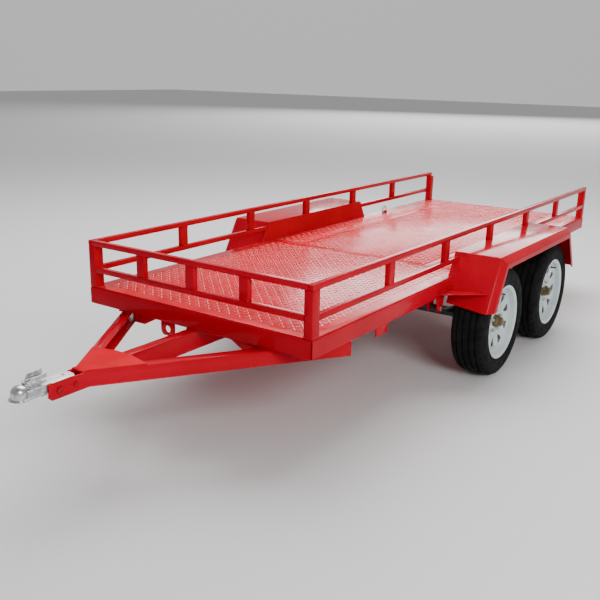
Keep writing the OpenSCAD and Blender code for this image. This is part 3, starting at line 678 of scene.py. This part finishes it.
def welds(name, lines):
    rows, beads = {}, []
    for start, end in lines:
        along = end - start
        count = max(2, int(along.length / (RIPPLE * MM)))
        if count not in rows:
            rows[count] = bead_row(count)
        turn = Vector((1, 0, 0)).rotation_difference(along.normalized()).to_matrix().to_4x4()
        beads.append(copied(rows[count], "bead", start, turn=turn))
    alone(*rows.values())
    bpy.ops.object.delete()
    obj = joined(name, beads)
    print(name, len(lines), "beads,", len(obj.data.polygons), "faces")
    return sign(obj, "chassis", "body_red")


def both(*lines):
    """Each line of drawing places, and its mirror image on the left side."""
    out = []
    for a, b in lines:
        out.append((at(*a), at(*b)))
        out.append((at(a[0], -a[1], a[2]), at(b[0], -b[1], b[2])))
    return out


# %% [markdown]
# The drawbar is welded along the top plate, at the pads under the frame and down the gussets.

# %% Drawbar welds
arm_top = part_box("drawbar_top_plate")[0].z / MM
plate_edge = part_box("drawbar_top_plate")[1].y / MM
lines = both(
    ((-600, 32.5, arm_top + 0.5), (-580, 32.5, arm_top + 0.5)),
    ((-580, 32.5, arm_top + 0.5), (-400, plate_edge + 0.5, arm_top + 0.5)),
    ((-400, plate_edge, arm_top + 0.5), (-372, 41, arm_top + 0.5)),
    ((-1, 366, frame_low - 1), (-1, 440, frame_low - 1)), ((9, 212, frame_low - 1), (9, 356, frame_low - 1)),
    ((41, 366, frame_low - 1), (41, 440, frame_low - 1)), ((17, 212, frame_low - 1), (17, 356, frame_low - 1)),
    ((-1, 24, frame_low - 1), (-1, 1, frame_low - 1)),
    ((506, 584, frame_low - 6), (605, 584, frame_low - 6)),
)
lines += [
    (at(-601, -32, arm_top + 0.5), at(-601, 32, arm_top + 0.5)),
    (at(15, 111, frame_low - 1), at(15, 189, frame_low - 1)),
    (at(25, 111, frame_low - 1), at(25, 189, frame_low - 1)),
]
welds("welds_drawbar", lines)

# %% [markdown]
# The deck's plates are laid with a gap of two millimetres and welded from below. The bead lies deep in the
# gap, so the seam still reads as a dark line from above, and no daylight shows through it from underneath.

# %% Deck seams
SEAM_X, SEAM_Y = 1380, 400
seam_z = deck_top / MM - 4
welds("welds_deck", both(
    ((SEAM_X, 0, seam_z), (SEAM_X, 618, seam_z)), ((SEAM_X + 3, SEAM_Y, seam_z), (3492, SEAM_Y, seam_z)),
))

# %% [markdown]
# Every post is welded at its foot and at its head, on both faces.

# %% Fence welds
rail_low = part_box("top_rail_left")[0].z / MM
mid_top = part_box("mid_rails")[1].z / MM
fender_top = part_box("fender_left")[1].z / MM
plate_z = deck_top / MM
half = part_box("top_rail_right")[1].y / MM
inside = half - 25
lines = []
for i in range(5):
    x = 614 + 562 * i
    foot = fender_top if i in (2, 3) else mid_top
    for y in (inside, half - 1):
        for z in (foot + 0.5, rail_low - 0.5):
            lines += both(((x - 23, y, z), (x + 23, y, z)))
for y in (-290, 0, 290):
    for x in (1, 25):
        for z in (mid_top + 0.5, rail_low - 0.5):
            lines.append((at(x, y - 23, z), at(x, y + 23, z)))
lines += both(
    ((50, 584, plate_z), (50, 624, plate_z)), ((1, 583, plate_z), (49, 583, plate_z)),
    ((51, 602, mid_top), (51, 623, mid_top)), ((51, 602, mid_top - 25), (51, 623, mid_top - 25)),
    ((3450, 584, plate_z), (3450, 624, plate_z)), ((3451, 583, plate_z), (3499, 583, plate_z)),
    ((3449, 602, mid_top), (3449, 623, mid_top)), ((1, 582, mid_top - 1), (23, 582, mid_top - 1)),
    ((25, 600, rail_low + 2), (25, 600, rail_low + 22)), ((2, 584, rail_low), (48, 584, rail_low)),
)
welds("welds_fence", lines)

# %% [markdown]
# The fenders are welded to the deck along their inner wall, and to the frame down both slopes; the stays
# and the spring hangers get a bead where they meet it.

# %% Fender and hanger welds
stay_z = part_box("fender_stays")[1].z / MM
lines = both(
    ((1270, 596.5, plate_z), (2444, 596.5, plate_z)),
    ((1264, 626, plate_z - 4), (1222, 626, frame_low + 2)),
    ((2450, 626, plate_z - 4), (2492, 626, frame_low + 2)),
    ((1072, 627, stay_z), (1232, 627, stay_z)), ((2482, 627, stay_z), (2642, 627, stay_z)),
)
for x0, x1 in ((1093, 1177), (1773, 1934), (2530, 2614)):
    for y in (564.5, 625):
        lines += both(((x0, y, frame_low - 0.5), (x1, y, frame_low - 0.5)))
welds("welds_fenders", lines)

# %% [markdown]
# ## The ball coupler
#
# The coupler is pressed from thick sheet and zinc plated. Its edges aren't bevelled but flow into one
# another, which no bevel gives at the neck where the dome runs into the channel. So the copy of the CAD body
# is rebuilt as a fine even skin with a voxel Remesh and then relaxed by a Smooth: all sharp inner corners
# fill and all outer ones round off, as in a pressing. The lever gets the same treatment, finer.

# %% Pressed parts
def pressed(node, body, voxel, rounds):
    obj = from_cad(node, node + "_pressed")
    apply_modifier(obj, "REMESH", mode="VOXEL", voxel_size=voxel * MM, use_smooth_shade=True)
    apply_modifier(obj, "SMOOTH", factor=0.5, iterations=rounds)
    smooth(obj, 60)
    print(obj.name, len(obj.data.polygons), "faces")
    return sign(obj, body, "coupler_zinc", node)


pressed("coupler_body", "chassis", 1.1, 5)
pressed("coupler_lever", "lever", 0.8, 3)

# %% [markdown]
# ## Leaf springs in two halves
#
# A leaf pack is fixed to the hangers at its ends and to the axle at its middle, so neither body can carry
# it whole. It is split at the axle into two halves. The edges of rolled spring leaf are round, which the
# bevel gives first. The long leaves are cut across every few centimetres.

# %% Spring halves
REACH = 340 * MM
for axle in ("front", "rear"):
    node = axle + "_springs"
    low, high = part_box(axle + "_axle_beam")
    centre = (low + high) / 2
    whole = from_cad(node, node)
    rounded(whole, 1.0, 2, 50)
    for label, side in (("fore", -1), ("aft", 1)):
        part = copied(whole, axle + "_leaves_" + label)
        editing(part)
        bpy.ops.mesh.bisect(plane_co=centre, plane_no=(side, 0, 0), clear_inner=True, use_fill=True)
        for cut in range(1, 12):
            bpy.ops.mesh.select_all(action="SELECT")
            place = centre + Vector((side * REACH * cut / 12, 0, 0))
            bpy.ops.mesh.bisect(plane_co=place, plane_no=(1, 0, 0))
        done()
        smooth(part, 35)
        part.data.materials.clear()
        part.data.materials.append(steel)
        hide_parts(node)
        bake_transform(part)
    alone(whole)
    bpy.ops.object.delete()
print("each spring pack bends between", round(REACH, 3), "m out and the clamp")

# %% [markdown]
# ## Turned parts
#
# A wheel is all turning: tyre, rim, hub and cap are outlines spun about the axle. `lathe` takes an outline
# of radius and distance outwards from the wheel's middle, lays a ring of corners on it, and spins it. Points
# that lie on the axle fall together, so doubles are merged, and the normals are made consistent, since a
# spin doesn't know which side is out.

# %% The lathe
tyre_low, tyre_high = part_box("tyre_front_left")
wheel_centre = (tyre_low + tyre_high) / 2
tyre_r = (tyre_high.z - tyre_low.z) / 2 / MM
tyre_half = (tyre_high.y - tyre_low.y) / 2 / MM


def lathe(name, outline, steps=96, side=-1):
    bpy.ops.mesh.primitive_circle_add(vertices=len(outline), radius=0.1)
    obj = bpy.context.object
    obj.name = obj.data.name = name
    for corner, (radius, out) in zip(obj.data.vertices, outline):
        corner.co = wheel_centre + Vector((0, side * out * MM, radius * MM))
    editing(obj)
    bpy.ops.mesh.spin(steps=steps, angle=math.tau, center=wheel_centre, axis=(0, 1, 0))
    bpy.ops.mesh.select_all(action="SELECT")
    bpy.ops.mesh.remove_doubles(threshold=2e-6)
    bpy.ops.mesh.dissolve_degenerate(threshold=1e-6)
    bpy.ops.mesh.normals_make_consistent(inside=False)
    done()
    return obj


def mirrored(half):
    return half + [(r, -out) for r, out in reversed(half)]


# %% [markdown]
# ### The tyre
#
# A small-trailer tyre is ribbed: four grooves run round it, and short sipes cut into both shoulders. The
# grooves, the rib that guards the rim and the faint rings on the sidewall are all in the outline. The sipes
# are made afterwards, by picking every third facet of the shoulder and sinking it.

# %% Tyre
outer = [
    (178, 71.5), (182.2, 79.4), (195.4, 81.4), (195.4, 85.6), (198, 88.2), (203, 89.4), (205, 90.9),
    (209, 91.0),
    (211, 89.9), (222, 91.9), (232, tyre_half), (240, 92.2), (241, 91.4), (243, 91.4), (244, 92.0), (254, 90.0),
    (255, 89.0), (257, 88.4), (258, 88.8), (266, 85.4), (270, 83.6), (276, 79.5), (281, 74.0), (284, 67),
    (tyre_r, 60), (tyre_r, 53), (277.5, 51.8), (277.5, 45.2), (tyre_r, 44), (tyre_r, 22.5), (277.5, 21.3),
    (277.5, 14.7), (tyre_r, 13.5),
]
inner = [(271, 58), (264, 72), (225, 80), (178, 59)]
tyre = lathe("tyre", mirrored(outer) + [(r, -out) for r, out in inner] + list(reversed(inner)), 120)


def shoulder(p):
    radius = math.hypot(p.x - wheel_centre.x, p.z - wheel_centre.z) / MM
    turn = math.degrees(math.atan2(p.z - wheel_centre.z, p.x - wheel_centre.x)) % 9
    across = abs(p.y - wheel_centre.y) / MM
    return 275.5 < radius < 284.5 and 66 < across < 80 and (turn < 3.2 or turn > 8.9)


pick(tyre, "FACE", shoulder)
bpy.ops.mesh.inset(thickness=0.0012, depth=-0.0035, use_individual=False)
done()
smooth(tyre, 28)
print("tyre", len(tyre.data.polygons), "faces")

# %% [markdown]
# ### The rim
#
# A pressed steel rim: a rolled barrel with turned-out flanges, and a dished disc with eight hand holes. The
# holes are cut by a rounded prism, modelled once and copied round the axle. The disc is swelled out round
# each hole by the dish, and a rubber valve stands in the trough behind the flange.

# %% Rim
barrel = lathe("barrel", [
    (195, 84.2), (195, 82.4), (190, 81.6), (183, 80.4), (179.5, 77), (177.3, 72), (177.3, 50),
    (160, 39), (158, 36),
    (158, -14), (161, -18), (177.3, -31), (177.3, -72), (179.5, -77), (183, -80.4), (190, -81.6), (195, -82.4),
    (195, -84.2), (193, -85), (188, -84.6), (181, -83.2), (176, -79), (173.9, -73), (173.9, -33), (157, -20),
    (154.5, -15), (154.5, 38), (158, 43), (173.9, 53), (173.9, 73), (176, 79), (181, 83.2),
    (188, 84.6), (193, 85),
], 96)
disc = lathe("disc", [
    (156.5, 25), (156.5, 31), (151, 44), (146, 52), (140, 55.4), (134, 56), (112, 53.4), (95, 50), (86, 45.5),
    (78, 38), (70, 37), (46, 37), (33, 38), (33, 33.4), (46, 33), (70, 33), (79, 33), (88, 40.5), (97, 45),
    (112, 48.6), (134, 51), (139, 50.4), (142, 48), (147, 38), (150.5, 25),
], 96)
bpy.ops.mesh.primitive_cylinder_add(vertices=7, radius=1, depth=0.09, location=(0, 0, 0))
cutter = bpy.context.object
for corner in cutter.data.vertices:
    turn = round((math.atan2(corner.co.x, corner.co.y) / math.tau * 7)) % 7
    across, up = [(0, 139), (19.5, 136), (22.5, 122), (5, 93), (-5, 93), (-22.5, 122), (-19.5, 136)][turn]
    corner.co = (across * MM, math.copysign(0.045, corner.co.z) - 0.045, up * MM)
tidy(cutter)
pick(cutter, "EDGE", lambda p: True)
done()
for edge in cutter.data.edges:
    a, b = (cutter.data.vertices[i].co for i in edge.vertices)
    edge.select = abs(a.y - b.y) > 0.05
bpy.ops.object.mode_set(mode="EDIT")
bpy.ops.mesh.bevel(offset=4 * MM, segments=4)
done()
cutter.data.transform(Matrix.Translation(wheel_centre))
holes = []
for i in range(8):
    swing = Matrix.Rotation(math.radians(22.5 + 45 * i), 4, "Y")
    spot = Matrix.Translation(wheel_centre) @ swing @ Matrix.Translation(-wheel_centre)
    holes.append(copied(cutter, "hole", turn=spot))
alone(cutter)
bpy.ops.object.delete()
holes = joined("holes", holes)
apply_modifier(disc, "BOOLEAN", operation="DIFFERENCE", object=holes, solver="EXACT")
alone(holes)
bpy.ops.object.delete()
rim = joined("rim", [barrel, disc])
apply_modifier(rim, "BEVEL", width=0.6 * MM, segments=1, limit_method="ANGLE", angle_limit=math.radians(50),
               use_clamp_overlap=False)
smooth(rim, 35)
print("rim", len(rim.data.polygons), "faces")

# %% [markdown]
# ### Hub, cap, nuts and valve
#
# The hub's cap is driven on and shows a rolled edge and a soft dome. A wheel nut is a hexagon with its
# corners turned off by a cone, on a stud with a flat end. One nut is made and copied to the five studs.

# %% Hub and fixings
hub = lathe("hub", [
    (0, 83.8), (12, 83.2), (18, 81.4), (21.5, 78.4), (23.4, 73), (24, 64), (27, 63.4), (28.5, 62), (28.5, 59),
    (30.6, 57), (31.6, 40), (32.6, 34), (71, 33), (72, 32), (72, 24), (71, 23), (44, 23), (42, 20), (42, -86),
    (40, -88), (17.6, -88), (17.6, 61), (0, 61.5),
], 64)
smooth(hub, 32)

STUD_RING = 57.15
bpy.ops.mesh.primitive_cylinder_add(vertices=6, radius=10.4 * MM, depth=15 * MM, location=(0, 0, 0))
nut = bpy.context.object
pick(nut, "EDGE", lambda p: abs(p.z) > 7 * MM)
bpy.ops.mesh.bevel(offset=1.5 * MM, segments=2)
done()
bpy.ops.mesh.primitive_cylinder_add(vertices=24, radius=6 * MM, depth=26 * MM, location=(0, 0, 0))
stud = bpy.context.object
apply_modifier(stud, "BEVEL", width=1 * MM, segments=2, limit_method="ANGLE", angle_limit=math.radians(60))
stud.data.transform(Matrix.Translation((0, 0, -0.5 * MM)))
nut = joined("nut", [nut, stud])
smooth(nut, 32)
upright = Matrix.Rotation(math.radians(90), 4, "X")
nuts = []
for i in range(5):
    angle = math.radians(18 + 72 * i)
    spot = wheel_centre + Vector((STUD_RING * math.cos(angle), -45.7, STUD_RING * math.sin(angle))) * MM
    nuts.append(copied(nut, "nut_copy", spot, turn=upright))
alone(nut)
bpy.ops.object.delete()
nuts = joined("nuts", nuts)

valve = lathe("valve", [
    (0, 0), (5.2, 0), (5.2, 4), (4.2, 6), (3.4, 22), (4.0, 23), (4.0, 30), (2.6, 31), (0, 31),
], 20)
valve.data.transform(Matrix.Translation((0, -52 * MM, 148 * MM)))
smooth(valve, 40)

# %% [markdown]
# ### Four wheels from one
#
# The parts above stand at the front left wheel. The rear wheels are the same moved back by the axle
# spacing, and the right-hand ones are mirrored, so that the dish faces outwards on both sides. Each wheel
# is turned by a different amount, as wheels that have rolled are.

# %% Placing the wheels
for label, angle in (("front_left", 0), ("rear_left", 25), ("front_right", 50), ("rear_right", 10)):
    low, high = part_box("tyre_" + label)
    centre = (low + high) / 2
    mirror = centre.y > 0
    start = Vector((wheel_centre.x, -wheel_centre.y if mirror else wheel_centre.y, wheel_centre.z))
    swing = Matrix.Rotation(math.radians(angle), 4, "Y")
    spot = Matrix.Translation(centre) @ swing @ Matrix.Translation(-start)
    for part, kind, slot, nodes in (
        (tyre, "tyre", "tyre_rubber", ["tyre_" + label]), (rim, "rim", "rim_white", ["rim_" + label]),
        (hub, "hub", "hub_metal", ["hub_" + label]),
        (nuts, "wheel_nuts", "plated_fixings", ["nuts_" + label]), (valve, "valve", "tyre_rubber", []),
    ):
        piece = copied(part, kind + "_of_" + label, flip=mirror, turn=spot)
        smooth(piece, 30)
        sign(piece, "wheel_" + label, slot, *nodes)
for part in (tyre, rim, hub, nuts, valve):
    alone(part)
    bpy.ops.object.delete()
print("four wheels placed")

# %% [markdown]
# ## Studio
#
# A plain pale floor, a plain surround and three soft lights. Outdoors a trailer like this stands under an
# open sky: the deck, seen at a low angle, mirrors the sky beyond the tailgate and shows pale patches, while
# the sides that face the viewer stay deep red. So a wide panel stands far behind the tailgate for the deck to
# mirror, the large light hangs above, and the third fills the front and the left side. The surround is a
# little brighter at the tailgate end too: a dot product with that direction gives it its gentle slope.

# %% Floor, lights and camera
bpy.ops.mesh.primitive_plane_add(size=80)
floor = bpy.context.object
floor.name = "floor"
pale = finish("pale_floor", Base_Color=(0.66, 0.66, 0.66, 1), Roughness=0.9)
floor.data.materials.append(pale)

world = bpy.data.worlds.new("studio")
bpy.context.scene.world = world
world.use_nodes = True
tree = world.node_tree
facing = tree.nodes.new("ShaderNodeVectorMath")
facing.operation = "DOT_PRODUCT"
facing.inputs[1].default_value = (0.80, 0.56, 0.22)
span = tree.nodes.new("ShaderNodeMapRange")
span.inputs["From Min"].default_value = 0.1
span.inputs["To Min"].default_value = 0.40
span.inputs["To Max"].default_value = 0.62
tree.links.new(tree.nodes.new("ShaderNodeTexCoord").outputs["Generated"], facing.inputs[0])
tree.links.new(facing.outputs["Value"], span.inputs["Value"])
tree.links.new(span.outputs["Result"], tree.nodes["Background"].inputs["Strength"])
tree.nodes["Background"].inputs["Color"].default_value = (1, 1, 1, 1)


def softbox(name, place, target, size, power):
    bpy.ops.object.light_add(type="AREA", location=place)
    lamp = bpy.context.object
    lamp.name = name
    lamp.data.shape = "RECTANGLE"
    lamp.data.size, lamp.data.size_y = size
    lamp.data.energy = power
    aim = Vector(target) - Vector(place)
    lamp.rotation_euler = aim.to_track_quat("-Z", "Y").to_euler()


softbox("sky_light", (2.0, 1.2, 6.0), (0, 0, 0.5), (6, 5), 580)
softbox("tail_light", (24.2, 9.0, 9.2), (0, 0, 0.5), (14, 10), 3200)
softbox("key_light", (-3.5, -5.5, 3.6), (-0.3, 0, 0.5), (3, 2.4), 330)

camera_place = at(-2345, -2198, 0) + Vector((0, 0, deck_top + 0.981))
yaw, pitch, roll = (math.radians(a) for a in (34.847, -16.226, 1.204))
look = Vector((math.cos(pitch) * math.cos(yaw), math.cos(pitch) * math.sin(yaw), math.sin(pitch)))
flat_right = look.cross(Vector((0, 0, 1))).normalized()
flat_up = flat_right.cross(look)
right = math.cos(roll) * flat_right + math.sin(roll) * flat_up
up = math.cos(roll) * flat_up - math.sin(roll) * flat_right
lens = bpy.data.cameras.new("main_camera")
lens.lens, lens.sensor_width = 47.30, 36
camera = bpy.data.objects.new("main_camera", lens)
bpy.context.scene.collection.objects.link(camera)
camera.matrix_world = Matrix.Translation(camera_place) @ Matrix((right, up, -look)).transposed().to_4x4()
bpy.context.scene.camera = camera
print("camera at", [round(c, 3) for c in camera_place])
